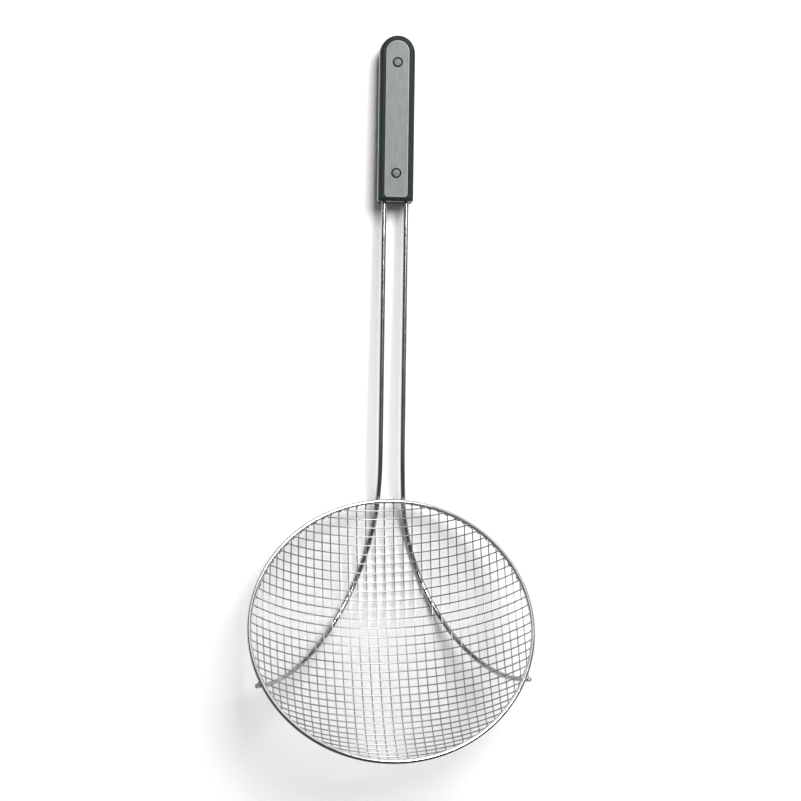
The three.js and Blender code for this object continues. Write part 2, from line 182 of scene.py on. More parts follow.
def to_world(points):
    """Points in the tool's frame and millimetres become points in the world, in metres."""
    return (tool_origin + points @ tool_axes) * MM


# The bowl's own axes: across, towards the grip in the rim's plane, and out of the mouth
bowl_axes = np.array([
    [1.0, 0.0, 0.0],
    [0.0, math.cos(BOWL_TILT), -math.sin(BOWL_TILT)],
    [0.0, math.sin(BOWL_TILT), math.cos(BOWL_TILT)],
])


def bowl_direction(polar, azimuth):
    """Unit vector from the sphere's centre, polar from the bowl's middle, azimuth from the grip."""
    local = np.stack([
        np.sin(polar) * np.sin(azimuth),
        np.sin(polar) * np.cos(azimuth),
        -np.cos(polar) * np.ones_like(azimuth),
    ], axis=-1)
    return local @ bowl_axes


entry_azimuth = math.asin(ROD_SPACING_AT_RIM / 2 / (rod_sphere * math.sin(rim_polar)))
middle_polar = math.asin(ROD_SPACING_AT_MIDDLE / 2 / rod_sphere)
entry_from_centre = rod_sphere * bowl_direction(rim_polar, np.array(entry_azimuth))
bowl_centre = np.array([0.0, -entry_from_centre[1], -KNEE_DROP - entry_from_centre[2]])


# Meshes

SHARP = 35.0  # degrees between faces, over which an edge is sharp
WELD_DISTANCE = 0.002 * MM
EDGE_STEPS = 5


def by_row(values):
    """One value for each row as a column, so that it spreads over the row. A table stays as it is."""
    values = np.asarray(values, dtype=float)
    return values[:, None] if values.ndim == 1 else values


class Shell:
    """Collects surface patches in the tool's frame and makes them one mesh piece."""

    def __init__(self):
        self.points = []
        self.faces = []
        self.uvs = []
        self.dulling_and_sheen = []
        self.painted_shade = []
        self.count = 0

    def add(self, points, faces, uvs, dulling_and_sheen, painted_shade):
        """Points (n, 3), faces as rows of corners, one texture point for each face corner, and at each
        point, from 0 to 1, how dulled or lit by painted sheen it is, and how much painted shade it has."""
        self.points.append(points)
        self.faces += (faces + self.count).tolist()
        self.uvs.append(uvs)
        self.dulling_and_sheen.append(dulling_and_sheen)
        self.painted_shade.append(painted_shade)
        self.count += len(points)

    def grid(self, points, lengths=None, dulling_and_sheen=0.0, painted_shade=0.0):
        """A sheet of rows whose columns close on themselves. The texture runs along the rows in
        millimetres, or in the lengths given, and once round the columns. The dulling and painted sheen,
        and the painted shade, are one value for the sheet, one for each row, or a table of rows and
        columns."""
        rows, columns = points.shape[:2]
        row, column = np.meshgrid(np.arange(rows - 1), np.arange(columns), indexing="ij")
        after = (column + 1) % columns
        faces = np.stack([
            row * columns + column,
            row * columns + after,
            (row + 1) * columns + after,
            (row + 1) * columns + column,
        ], axis=-1).reshape(-1, 4)
        if lengths is None:
            steps = np.linalg.norm(np.diff(points, axis=0), axis=-1).mean(axis=1)
            lengths = np.concatenate([[0.0], np.cumsum(steps)])
        u = lengths[np.stack([row, row, row + 1, row + 1], axis=-1)]
        v = np.stack([column, column + 1, column + 1, column], axis=-1) / columns
        self.add(points.reshape(-1, 3), faces, np.stack([u, v], axis=-1).reshape(-1, 2),
                 np.broadcast_to(by_row(dulling_and_sheen), (rows, columns)).ravel(),
                 np.broadcast_to(by_row(painted_shade), (rows, columns)).ravel())

    def flat(self, ring, facing, holes=()):
        """A flat face inside a ring of points, with round holes left out."""
        rings = [ring, *holes]
        points = np.concatenate(rings)
        faces = np.array(tessellate_polygon([r.tolist() for r in rings]))
        corners = points[faces]
        normals = np.cross(corners[:, 1] - corners[:, 0], corners[:, 2] - corners[:, 0])
        outward = normals @ np.asarray(facing) > 0
        faces = np.where(outward[:, None], faces, faces[:, ::-1])
        clean = np.zeros(len(points))
        self.add(points, faces, points[faces.ravel()][:, :2], clean, clean)

    def piece(self, name, material, slot, replaces, sharp=SHARP):
        """Makes the object: patches welded, edges over the given angle sharp, riding on the tool."""
        points = to_world(np.concatenate(self.points))
        mesh = bpy.data.meshes.new(name)
        mesh.from_pydata(points.tolist(), [], self.faces)
        layer = mesh.uv_layers.new(name="UVMap")
        layer.data.foreach_set("uv", np.concatenate(self.uvs).ravel())
        # Two point attributes: the rods' dulling together with painted sheen on rounded edges, and
        # painted shade.
        for label, values in (("dulling_and_sheen", self.dulling_and_sheen), ("painted_shade", self.painted_shade)):
            attribute = mesh.attributes.new(label, "FLOAT", "POINT")
            attribute.data.foreach_set("value", np.concatenate(values))
        weld(mesh)
        mesh.shade_smooth()
        mesh.set_sharp_from_angle(angle=math.radians(sharp))
        mesh.materials.append(material)
        obj = bpy.data.objects.new(name, mesh)
        bpy.context.scene.collection.objects.link(obj)
        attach(obj, "root")
        if replaces:
            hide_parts(*replaces)


def weld(mesh):
    """Merges the points that neighbouring patches share, so that the shell is closed."""
    shell = bmesh.new()
    shell.from_mesh(mesh)
    bmesh.ops.remove_doubles(shell, verts=shell.verts, dist=WELD_DISTANCE)
    bmesh.ops.recalc_face_normals(shell, faces=shell.faces)
    shell.to_mesh(mesh)
    shell.free()


def tube(shell, path, normals, radius, sides, edge=0.0, dulling_and_sheen=None):
    """A round wire: circles of the given radius carried along the path, square to its tangent. The
    normals only say where each circle starts. Its ends are flat, with their edge rounded by the
    radius given, a quarter circle that stands out past the path. Dulling is one value for each point."""
    tangents = unit(np.gradient(path, axis=0))
    swell = np.linspace(0.0, math.pi / 2, EDGE_STEPS + 1)[1:] if edge else np.zeros(0)
    reach = np.append(edge * np.sin(swell), edge)[:, None]
    taper = np.append(radius - edge * (1 - np.cos(swell)), 0.0)
    first = path[0] - reach[::-1] * tangents[0]
    last = path[-1] + reach * tangents[-1]
    line = np.concatenate([first, path, last])
    along = np.concatenate([np.repeat(tangents[:1], len(taper), 0), tangents,
                            np.repeat(tangents[-1:], len(taper), 0)])
    start = np.concatenate([np.repeat(normals[:1], len(taper), 0), normals,
                            np.repeat(normals[-1:], len(taper), 0)])
    girth = np.concatenate([taper[::-1], np.full(len(path), radius), taper])
    sideways = unit(np.cross(along, start))
    outward = np.cross(sideways, along)
    turn = 2 * math.pi * np.arange(sides) / sides
    circle = np.cos(turn)[:, None] * outward[:, None] + np.sin(turn)[:, None] * sideways[:, None]
    steps = np.linalg.norm(np.diff(line, axis=0), axis=-1)
    lengths = np.concatenate([[0.0], np.cumsum(steps)])
    dulling = 0.0 if dulling_and_sheen is None else np.pad(dulling_and_sheen, len(taper), mode="edge")
    shell.grid(line[:, None] + girth[:, None, None] * circle, lengths=lengths, dulling_and_sheen=dulling)


# Rods

def arc_through(start, middle, end, extra, count):
    """Points of the circle through three points, from start past end by an extra length. Its centre
    is start + ((b |a|^2 - a |b|^2) x n) / 2|n|^2, with a and b to the other two and n = a x b."""
    to_middle = middle - start
    to_end = end - start
    axis = np.cross(to_middle, to_end)
    swung = to_end * (to_middle @ to_middle) - to_middle * (to_end @ to_end)
    inwards = np.cross(swung, axis) / (2 * axis @ axis)
    centre = start + inwards
    radius = np.linalg.norm(inwards)
    first = -inwards / radius
    second = np.cross(unit(axis), first)
    last = end - centre
    sweep = math.atan2(last @ second, last @ first) % (2 * math.pi) + extra / radius
    angle = np.linspace(0.0, sweep, count)[:, None]
    return centre + radius * (np.cos(angle) * first + np.sin(angle) * second)


def rod_path(side):
    """A rod's middle line: straight out of the grip, a cubic knee, and an arc round the bowl."""
    def place(polar, azimuth):
        return bowl_centre + rod_sphere * bowl_direction(polar, np.array(azimuth))

    entry = place(rim_polar, side * entry_azimuth)
    middle = place(middle_polar, side * math.pi / 2 - ROD_SKEW)
    exit_point = place(rim_polar, side * ROD_EXIT_ANGLE - ROD_SKEW)
    arc = arc_through(entry, middle, exit_point, ROD_STUB - ROD_END_EDGE, ARC_STEPS)
    slope = unit(arc[1] - arc[0])
    x = side * ROD_SPACING / 2
    knee_top = np.array([x, KNEE_RUN, 0.0])
    straight = np.linspace([x, grip_end - ROD_END_INSET, 0.0], knee_top, STRAIGHT_STEPS)
    t = np.linspace(0.0, 1.0, KNEE_STEPS)[:, None]
    handle = np.array([x, KNEE_RUN - KNEE_TAIL, 0.0])
    lead = entry - KNEE_LEAD * slope
    knee = ((1 - t)**3 * knee_top + 3 * t * (1 - t)**2 * handle
            + 3 * t**2 * (1 - t) * lead + t**3 * entry)
    return np.concatenate([straight[:-1], knee[:-1], arc])


def make_rod(side, node, material):
    """One bent rod with cut ends, dulled towards its weld on the rim."""
    shell = Shell()
    path = rod_path(side)
    upright = np.broadcast_to([0.0, 0.0, 1.0], path.shape)
    steps = np.linalg.norm(np.diff(path, axis=0), axis=-1)
    to_end = np.append(np.cumsum(steps[::-1])[::-1], 0.0)
    dull = np.interp(to_end, [ROD_DULL_FULL, ROD_DULL_FROM], [1.0, 0.0])
    tube(shell, path, upright, rod_radius, ROD_SIDES, ROD_END_EDGE, dull)
    shell.piece(node + "_wire", material, "bright_steel", [node])


# Rim

RIM_STEPS = 288
RIM_UNSHADED_FROM = 1.0  # height over the rim's plane in wire radii, from where there is no painted shade
RIM_SHADE_FADE = 0.25  # height over which the painted shade comes in
RIM_SIDE_SHADE = 0.5  # painted shade at the bowl's left and right, as a share of what it is towards the grip
RIM_SHADE_TURN = 2.0  # how quickly the painted shade gives way from the outside to the inside


def make_rim(material):
    """The rim: a circle of the wire's radius carried round a circle in the bowl's mouth. It is left
    bright on top and inside, and its outside is painted darker downwards, a painted shade."""
    azimuth = 2 * math.pi * np.arange(RIM_STEPS + 1) / RIM_STEPS
    radial = bowl_direction(np.full_like(azimuth, math.pi / 2), azimuth)
    centre = bowl_centre - bowl_axes[2] * (bowl_radius - BOWL_DEPTH)
    turn = 2 * math.pi * np.arange(ROD_SIDES) / ROD_SIDES
    circle = np.cos(turn)[:, None] * radial[:, None] + np.sin(turn)[:, None] * bowl_axes[2]
    # Painted shade: darker down the wire's outside, strongest towards and away from the grip.
    flank_shade = np.clip((RIM_UNSHADED_FROM - np.sin(turn)) / RIM_SHADE_FADE, 0.0, 1.0)
    flank_shade *= np.clip(0.5 + RIM_SHADE_TURN * np.cos(turn), 0.0, 1.0)
    around = RIM_SIDE_SHADE + (1 - RIM_SIDE_SHADE) * abs(np.cos(azimuth))
    shell = Shell()
    shell.grid(centre + rim_radius * radial[:, None] + RIM_WIRE / 2 * circle,
               lengths=rim_radius * azimuth, painted_shade=around[:, None] * flank_shade)
    shell.piece("rim_wire", material, "bright_steel", ["rim_hoop"])


# Mesh

def sheet_knots():
    """Knots of a square mesh pressed to a sphere, as directions from its centre. The wires keep their
    spacing, so each cell is a rhombus: a knot is the mirror image of the one across its cell, in the
    plane of the sphere's centre and the two knots between. One quarter is worked out, diagonal by
    diagonal, and the others mirror it."""
    step = MESH_PITCH / bowl_radius
    reach = math.ceil((rim_polar + MESH_SHIFT / bowl_radius) / step) + 1
    steps = step * np.arange(reach + 1)
    quarter = np.zeros((reach + 1, reach + 1, 3))
    quarter[:, 0] = np.stack([np.sin(steps), 0 * steps, -np.cos(steps)], axis=-1)
    quarter[0, :] = np.stack([0 * steps, np.sin(steps), -np.cos(steps)], axis=-1)
    for diagonal in range(2, 2 * reach + 1):
        i = np.arange(max(1, diagonal - reach), min(reach, diagonal - 1) + 1)
        j = diagonal - i
        mirror = unit(np.cross(quarter[i - 1, j], quarter[i, j - 1]))
        across_cell = quarter[i - 1, j - 1]
        depth = np.sum(across_cell * mirror, axis=-1, keepdims=True)
        quarter[i, j] = across_cell - 2 * depth * mirror
    index = np.arange(-reach, reach + 1)
    i, j = np.meshgrid(index, index, indexing="ij")
    knots = quarter[abs(i), abs(j)] * np.stack([np.sign(i), np.sign(j), np.ones_like(i)], axis=-1)
    shift = MESH_SHIFT / bowl_radius
    shifted = np.stack([
        knots[..., 0],
        knots[..., 1] * math.cos(shift) - knots[..., 2] * math.sin(shift),
        knots[..., 1] * math.sin(shift) + knots[..., 2] * math.cos(shift),
    ], axis=-1)
    turned = np.stack([
        shifted[..., 0] * math.cos(MESH_TURN) - shifted[..., 1] * math.sin(MESH_TURN),
        shifted[..., 0] * math.sin(MESH_TURN) + shifted[..., 1] * math.cos(MESH_TURN),
        shifted[..., 2],
    ], axis=-1)
    return turned @ bowl_axes


def smooth_line(knots, count):
    """A cubic through all the knots, which meets each with the slope between its neighbours."""
    slopes = np.gradient(knots, axis=0)
    place = np.linspace(0.0, len(knots) - 1.0, count)
    cell = np.minimum(place.astype(int), len(knots) - 2)
    t = (place - cell)[:, None]
    return ((2 * t**3 - 3 * t**2 + 1) * knots[cell] + (t**3 - 2 * t**2 + t) * slopes[cell]
            + (3 * t**2 - 2 * t**3) * knots[cell + 1] + (t**3 - t**2) * slopes[cell + 1])


def wire_line(knots):
    """Directions along one wire, from rim to rim, or None if it misses the bowl."""
    fine = unit(smooth_line(knots, WIRE_FINE_STEPS * len(knots)))
    polar = np.arccos(np.clip(fine @ -bowl_axes[2], -1.0, 1.0))
    inside = np.flatnonzero(polar < rim_polar)
    lowest = np.argmin(polar)
    if polar[lowest] > rim_polar - MESH_PITCH / 2 / bowl_radius:
        return None
    run = fine[inside.min():inside.max() + 1]
    return run[np.linspace(0, len(run) - 1, WIRE_STEPS).round().astype(int)]


def make_wires(name, lines, layer, material):
    """One layer of the mesh: round wires at the given height over the sphere of the sheet. Returns
    the place and run of the wires' two ends each."""
    shell = Shell()
    ends = []
    for line in lines:
        directions = wire_line(line)
        if directions is None:
            continue
        path = bowl_centre + (bowl_radius + layer) * directions
        tube(shell, path, directions, MESH_WIRE / 2, WIRE_SIDES)
        ends += [(path[0], path[1] - path[0]), (path[-1], path[-1] - path[-2])]
    shell.piece(name, material, "mesh_steel", ["mesh_bowl"], WIRE_SHARP)
    return ends


# Welds

def lump(shell, middle, axes, grid, swell=0.0):
    """An ellipsoid: middle plus axes times a unit sphere on a grid of polar rows and round columns. Its
    surface swells and sinks by a low wave, three to the round, as a bead of melted metal does."""
    rows, columns = grid
    polar = np.linspace(0.0, math.pi, rows)[:, None]
    round_about = 2 * math.pi * np.arange(columns) / columns
    wave = 1 + swell * np.sin(3 * round_about + 2 * polar) * np.sin(polar)
    sphere = np.stack([
        wave * np.sin(polar) * np.cos(round_about),
        wave * np.sin(polar) * np.sin(round_about),
        np.cos(polar) * np.ones_like(round_about),
    ], axis=-1)
    shell.grid(middle + sphere @ axes)


def make_rim_welds(material):
    """A bead at each crossing of a rod and the rim, lying along the rim between the two."""
    shell = Shell()
    for side in (-1, 1):
        for azimuth in (side * entry_azimuth, side * ROD_EXIT_ANGLE - ROD_SKEW):
            outward = bowl_direction(rim_polar, np.array(azimuth))
            along = unit(np.cross(bowl_axes[2], outward))
            across = np.cross(outward, along)
            middle = bowl_centre + (bowl_radius + RIM_WIRE / 2 - BEAD_SINK) * outward
            axes = np.array(BEAD_HALF_SIZES)[:, None] * np.array([along, across, outward])
            lump(shell, middle, axes, BEAD_GRID, BEAD_SWELL)
    shell.piece("rim_weld_beads", material, "bright_steel", [])


def make_wire_welds(name, ends, half_sizes, material):
    """A nugget where each wire of a layer meets the rim, on the rim's inner side. Its half sizes are
    along the rim, across it and out of the mouth, and it is drawn out along the rim by the square of
    the wire's slant to it."""
    shell = Shell()
    upward = bowl_axes[2]
    for end, run in ends:
        along = unit(np.cross(upward, end - bowl_centre))
        slant = max(1 - (unit(run) @ along)**2, 1 / NUGGET_STRETCH)
        radial = np.cross(along, upward)
        middle = (bowl_centre - (bowl_radius - BOWL_DEPTH + NUGGET_DROP) * upward
                  + (rim_radius - NUGGET_INSET) * radial)
        axes = np.array(half_sizes)[:, None] * np.array([along / slant, radial, upward])
        lump(shell, middle, axes, NUGGET_GRID)
    shell.piece(name, material, "mesh_steel", [])


# Grip

CORNER_STEPS = 8
END_STEPS = 48


def grip_ring(half, foot, end, corner, height):
    """Outline of a grip piece at one height: square foot with rounded corners, straight sides, and a
    half circle at the end. All outlines have their points in the same order."""
    quarter = np.linspace(0.0, math.pi / 2, CORNER_STEPS)
    half_turn = np.linspace(0.0, math.pi, END_STEPS)
    x = np.concatenate([
        half - corner + corner * np.sin(quarter),
        half * np.cos(half_turn),
        corner - half - corner * np.cos(quarter),
    ])
    y = np.concatenate([
        foot + corner - corner * np.cos(quarter),
        end - half + half * np.sin(half_turn),
        foot + corner - corner * np.sin(quarter),
    ])
    return np.stack([x, y, np.full_like(x, height)], axis=-1)


def turned_over(shell):
    """The same patches on the back of the grip: a half turn about its long axis, and then moved so
    that front and back lie evenly about the grip's middle height."""
    for points in shell.points:
        points *= [-1.0, 1.0, -1.0]
        points += [0.0, 0.0, 2 * grip_middle_height]
    return shell


def scale_shell(thickness):
    """A plastic scale as a front piece: rings from its inner face up the side, over the rounded edge,
    across the outer face, and down into the plate's pocket."""
    inner = front_face - thickness
    roll = np.linspace(0.0, math.pi / 2, SCALE_EDGE_STEPS)
    side = [
        (SCALE_SEAM_BREAK, inner),
        (0.0, inner + SCALE_SEAM_BREAK),
        (0.0, front_face - SCALE_EDGE_RADIUS - HOLD),
    ]
    edge = zip(SCALE_EDGE_RADIUS * (1 - np.cos(roll)),
               front_face - SCALE_EDGE_RADIUS * (1 - np.sin(roll)))
    profile = [*side, *edge, (SCALE_EDGE_RADIUS + HOLD, front_face)]
    rings = [grip_ring(scale_half - inset, grip_foot + inset, grip_end - inset,
                       SCALE_FOOT_CORNER + SCALE_CORNER_GROWTH * inset, height)
             for inset, height in profile]
    turn = np.linspace(0.0, math.pi / 2, POCKET_LIP_STEPS)
    rounding = zip(PLATE_SEAM + POCKET_LIP * (1 - np.sin(turn)),
                   front_face - POCKET_LIP * (1 - np.cos(turn)))
    lip = [(PLATE_SEAM + POCKET_LIP + HOLD, front_face), *rounding]
    rings += [grip_ring(plate_half + seam, plate_foot - seam, plate_end + seam,
                        PLATE_FOOT_RADIUS + seam, height) for seam, height in lip]
    pocket_floor = plate_top - PLATE_THICKNESS - CLEARANCE
    floor = rings[-1].copy()
    floor[:, 2] = pocket_floor
    rings.append(floor)
    beyond = np.zeros(len(rings) - len(side) - len(roll))
    # A painted sheen over the middle of the rounded edge.
    edge_sheen = np.concatenate([np.zeros(len(side)), np.sin(2 * roll), beyond])
    shell = Shell()
    shell.grid(np.array(rings), dulling_and_sheen=edge_sheen)
    shell.flat(rings[0], (0.0, 0.0, -1.0))
    shell.flat(floor, (0.0, 0.0, 1.0))
    return shell


def circle_ring(diameter, y, height):
    """A circle of points about a rivet's axis."""
    turn = 2 * math.pi * np.arange(HOLE_SIDES) / HOLE_SIDES
    return np.stack([diameter / 2 * np.cos(turn), y + diameter / 2 * np.sin(turn),
                     np.full_like(turn, height)], axis=-1)


def plate_shell():
    """A cover plate as a front piece: side, soft bevel, flat face with two round holes, and the holes'
    walls down to its back."""
    bottom = plate_top - PLATE_THICKNESS
    bend = np.linspace(0.0, math.pi / 2, PLATE_EDGE_STEPS)
    edge = zip(PLATE_EDGE * (1 - np.cos(bend)), plate_top - PLATE_EDGE * (1 - np.sin(bend)))
    profile = [
        (0.0, bottom),
        (0.0, plate_top - PLATE_EDGE - HOLD),
        *edge,
        (PLATE_EDGE + HOLD, plate_top),
    ]
    rings = [grip_ring(plate_half - inset, plate_foot + inset, plate_end - inset,
                       PLATE_FOOT_RADIUS - inset, height) for inset, height in profile]
    ring_diameter = RIVET_HEAD + 2 * RIVET_RING
    mouths = []
    floors = []
    shell = Shell()
    for y in rivet_places.values():
        mouth = circle_ring(ring_diameter + 2 * HOLE_BREAK, y, plate_top)
        wall = circle_ring(ring_diameter, y, plate_top - HOLE_BREAK)
        floor = circle_ring(ring_diameter, y, bottom)
        # The holes' walls get painted shade, which darkens the ring round each rivet head.
        shell.grid(np.array([mouth, wall, floor]), painted_shade=[0.0, 1.0, 1.0])
        mouths.append(mouth)
        floors.append(floor)
    # A painted highlight along the plate's side and bevel.
    edge_highlight = np.concatenate([[0.0, PLATE_SIDE_HIGHLIGHT], np.ones(len(bend)), [0.0]])
    shell.grid(np.array(rings), dulling_and_sheen=edge_highlight)
    shell.flat(rings[-1], (0.0, 0.0, 1.0), mouths)
    shell.flat(rings[0], (0.0, 0.0, -1.0), floors)
    return shell


def rivet_shell(y):
    """A solid rivet: its profile, shank and two low heads, turned about its axis. Each crown is a
    shallow arc with a rolled rim."""
    seat = plate_top - (PLATE_THICKNESS - PLATE_UNDER_HEAD - CLEARANCE)
    crown = seat + RIVET_HEAD_HEIGHT
    rolled = np.linspace(0.0, math.pi / 2, RIVET_ROLL_STEPS)
    dome = np.linspace(RIVET_HEAD / 2 - RIVET_ROLL, 0.0, RIVET_DOME_STEPS)
    radii = np.concatenate([
        [RIVET_SHANK / 2, RIVET_SHANK / 2, RIVET_HEAD / 2],
        RIVET_HEAD / 2 - RIVET_ROLL * (1 - np.cos(rolled)),
        dome[1:],
    ])
    heights = np.concatenate([
        [grip_middle_height, seat, seat],
        crown - RIVET_DOME - RIVET_ROLL * (1 - np.sin(rolled)),
        crown - RIVET_DOME * (dome[1:] / dome[0])**2,
    ])
    # Painted shade on the shank and the head's side, down in the recess, fading out over the rolled
    # rim.
    recess_shade = np.concatenate([
        [1.0, 1.0, 1.0],
        np.linspace(1.0, RIVET_RIM_SHADE, len(rolled)),
        np.zeros(len(dome) - 1),
    ])
    radii = np.concatenate([radii[::-1], radii[1:]])
    heights = np.concatenate([2 * grip_middle_height - heights[::-1], heights[1:]])
    recess_shade = np.concatenate([recess_shade[::-1], recess_shade[1:]])
    turn = 2 * math.pi * np.arange(RIVET_SIDES) / RIVET_SIDES
    rings = np.stack([
        radii[:, None] * np.cos(turn),
        y + radii[:, None] * np.sin(turn),
        heights[:, None] * np.ones_like(turn),
    ], axis=-1)
    shell = Shell()
    shell.grid(rings, painted_shade=recess_shade)
    return shell


def tang_shell():
    """The tang: a flat steel sheet whose edge is rounded over its whole thickness."""
    roll = np.linspace(0.0, math.pi / 2, TANG_EDGE_STEPS)
    edge = TANG_THICKNESS / 2
    insets = np.append(edge * (1 - np.cos(roll)), edge + HOLD)
    heights = np.append(tang_top - edge * (1 - np.sin(roll)), tang_top)
    insets = np.concatenate([insets[::-1], insets])
    heights = np.concatenate([tang_bottom + tang_top - heights[::-1], heights])
    half = scale_half + TANG_REVEAL
    rings = [grip_ring(half - inset, grip_foot + inset, grip_end + TANG_REVEAL - inset,
                       TANG_CORNER - inset, height) for inset, height in zip(insets, heights)]
    shell = Shell()
    shell.grid(np.array(rings))
    shell.flat(rings[0], (0.0, 0.0, -1.0))
    shell.flat(rings[-1], (0.0, 0.0, 1.0))
    return shell


# Materials

NOISE_LOW = 0.3  # a noise keeps mostly between these two
NOISE_HIGH = 0.7
EVEN = (1.0, 1.0, 1.0)  # stretch of a pattern that runs no way in particular
HEATED_COLOUR = (0.68, 0.69, 0.68)
HEATED_ROUGHNESS = (0.5, 0.5, 0.5)  # as a grey
# Painted light: the rim's flank colour is a painted shade down its outside, the plate's and the
# plastic's edge colours paint highlights on rounded edges, and the recess colour is a painted shade
# round the rivets.
RIM_FLANK_SHADE_COLOUR = (0.17, 0.178, 0.17)
PLATE_EDGE_HIGHLIGHT_COLOUR = (0.34, 0.355, 0.345)
PLASTIC_EDGE_SHEEN_COLOUR = (0.023, 0.036, 0.031)
RECESS_SHADE_COLOUR = (0.006, 0.008, 0.007)


def new_material(name):
    """A material with its node tree and its shader."""
    material = bpy.data.materials.new(name)
    material.use_nodes = True
    return material, material.node_tree, material.node_tree.nodes["Principled BSDF"]


def noise(tree, source, stretch, scale, detail=3.0):
    """Noise over object or surface coordinates, drawn out by the stretch along each axis."""
    coordinates = tree.nodes.new("ShaderNodeTexCoord")
    mapping = tree.nodes.new("ShaderNodeMapping")
    mapping.inputs["Scale"].default_value = stretch
    texture = tree.nodes.new("ShaderNodeTexNoise")
    texture.inputs["Scale"].default_value = scale
    texture.inputs["Detail"].default_value = detail
    tree.links.new(coordinates.outputs[source], mapping.inputs["Vector"])
    tree.links.new(mapping.outputs["Vector"], texture.inputs["Vector"])
    return texture.outputs["Fac"]


def colours(tree, factor, low, high, socket):
    """Carries a colour from low to high over the middle of a factor's range."""
    ramp = tree.nodes.new("ShaderNodeValToRGB")
    first, last = ramp.color_ramp.elements
    first.position = NOISE_LOW
    first.color = (*low, 1.0)
    last.position = NOISE_HIGH
    last.color = (*high, 1.0)
    tree.links.new(factor, ramp.inputs["Fac"])
    tree.links.new(ramp.outputs["Color"], socket)


def span(tree, factor, low, high, socket):
    """Carries a number from low to high over the middle of a factor's range."""
    spread = tree.nodes.new("ShaderNodeMapRange")
    spread.inputs["From Min"].default_value = NOISE_LOW
    spread.inputs["From Max"].default_value = NOISE_HIGH
    spread.inputs["To Min"].default_value = low
    spread.inputs["To Max"].default_value = high
    tree.links.new(factor, spread.inputs["Value"])
    tree.links.new(spread.outputs["Result"], socket)


def aged(tree, socket, label, colour, strength):
    """Lays a colour over what feeds a socket, as far as one of the surface's attributes says: its
    dulling and painted sheen, or its painted shade.
    """
    amount = tree.nodes.new("ShaderNodeAttribute")
    amount.attribute_name = label
    share = tree.nodes.new("ShaderNodeMapRange")
    share.inputs["To Max"].default_value = strength
    mix = tree.nodes.new("ShaderNodeMixRGB")
    mix.inputs["Color2"].default_value = (*colour, 1.0)
    tree.links.new(amount.outputs["Fac"], share.inputs["Value"])
    tree.links.new(share.outputs["Result"], mix.inputs["Fac"])
    tree.links.new(socket.links[0].from_socket, mix.inputs["Color1"])
    tree.links.new(mix.outputs["Color"], socket)


def bump(tree, shader, height, strength, depth):
    """Bumps of a depth in metres, over those that the shader already has."""
    socket = shader.inputs["Normal"]
    node = tree.nodes.new("ShaderNodeBump")
    node.inputs["Strength"].default_value = strength
    node.inputs["Distance"].default_value = depth
    tree.links.new(height, node.inputs["Height"])
    if socket.is_linked:
        tree.links.new(socket.links[0].from_socket, node.inputs["Normal"])
    tree.links.new(node.outputs["Normal"], socket)


def drawn_steel(name, dull, bright, smooth, rough):
    """Bright steel wire: faint lines along the wire from the drawing die, patches of duller skin, a
    grey skin where it has been hot, and a painted shade down the outside of the rim."""
    material, tree, shader = new_material(name)
    shader.inputs["Metallic"].default_value = 1.0
    base = shader.inputs["Base Color"]
    roughness = shader.inputs["Roughness"]
    patches = noise(tree, "Object", EVEN, scale=70.0)
    die_lines = noise(tree, "UV", (0.05, 18.0, 1.0), scale=1.0)
    colours(tree, patches, dull, bright, base)
    span(tree, patches, smooth, rough, roughness)
    aged(tree, base, "dulling_and_sheen", HEATED_COLOUR, strength=0.9)
    aged(tree, roughness, "dulling_and_sheen", HEATED_ROUGHNESS, strength=0.9)
    # Painted shade down the rim's outside.
    aged(tree, base, "painted_shade", RIM_FLANK_SHADE_COLOUR, strength=0.85)
    bump(tree, shader, die_lines, strength=0.04, depth=0.02 * MM)
    return material


def satin_steel():
    """Dull sheet steel: a fine grain along the grip, cloudy handling marks, a painted highlight on the
    edges, and painted shade in the rings round the rivets."""
    material, tree, shader = new_material("satin_steel")
    shader.inputs["Metallic"].default_value = 0.5
    base = shader.inputs["Base Color"]
    grain = noise(tree, "Object", (1.0, 0.02, 1.0), scale=4500.0, detail=2.0)
    clouds = noise(tree, "Object", (1.0, 0.4, 1.0), scale=260.0, detail=6.0)
    streaks = noise(tree, "Object", (1.0, 0.08, 1.0), scale=1400.0, detail=5.0)
    colours(tree, streaks, (0.122, 0.132, 0.127), (0.152, 0.163, 0.156), base)
    # Painted highlight on the bevel and the side, and painted shade on the holes' walls.
    aged(tree, base, "dulling_and_sheen", PLATE_EDGE_HIGHLIGHT_COLOUR, strength=0.8)
    aged(tree, base, "painted_shade", RECESS_SHADE_COLOUR, strength=0.95)
    span(tree, clouds, 0.58, 0.53, shader.inputs["Roughness"])
    bump(tree, shader, grain, strength=0.25, depth=0.03 * MM)
    return material


def moulded_plastic():
    """Dark green-black plastic: an even fine skin from the mould, cloudy handling marks, and a painted
    sheen on the rounded edges."""
    material, tree, shader = new_material("moulded_plastic")
    shader.inputs["Specular IOR Level"].default_value = 0.1
    base = shader.inputs["Base Color"]
    skin = noise(tree, "Object", EVEN, scale=2600.0, detail=2.0)
    marks = noise(tree, "Object", (1.0, 0.35, 1.0), scale=90.0, detail=4.0)
    colours(tree, marks, (0.006, 0.0125, 0.0105), (0.0105, 0.02, 0.017), base)
    # Painted sheen on the rounded edges.
    aged(tree, base, "dulling_and_sheen", PLASTIC_EDGE_SHEEN_COLOUR, strength=0.6)
    span(tree, marks, 0.4, 0.52, shader.inputs["Roughness"])
    bump(tree, shader, skin, strength=0.06, depth=0.02 * MM)
    return material


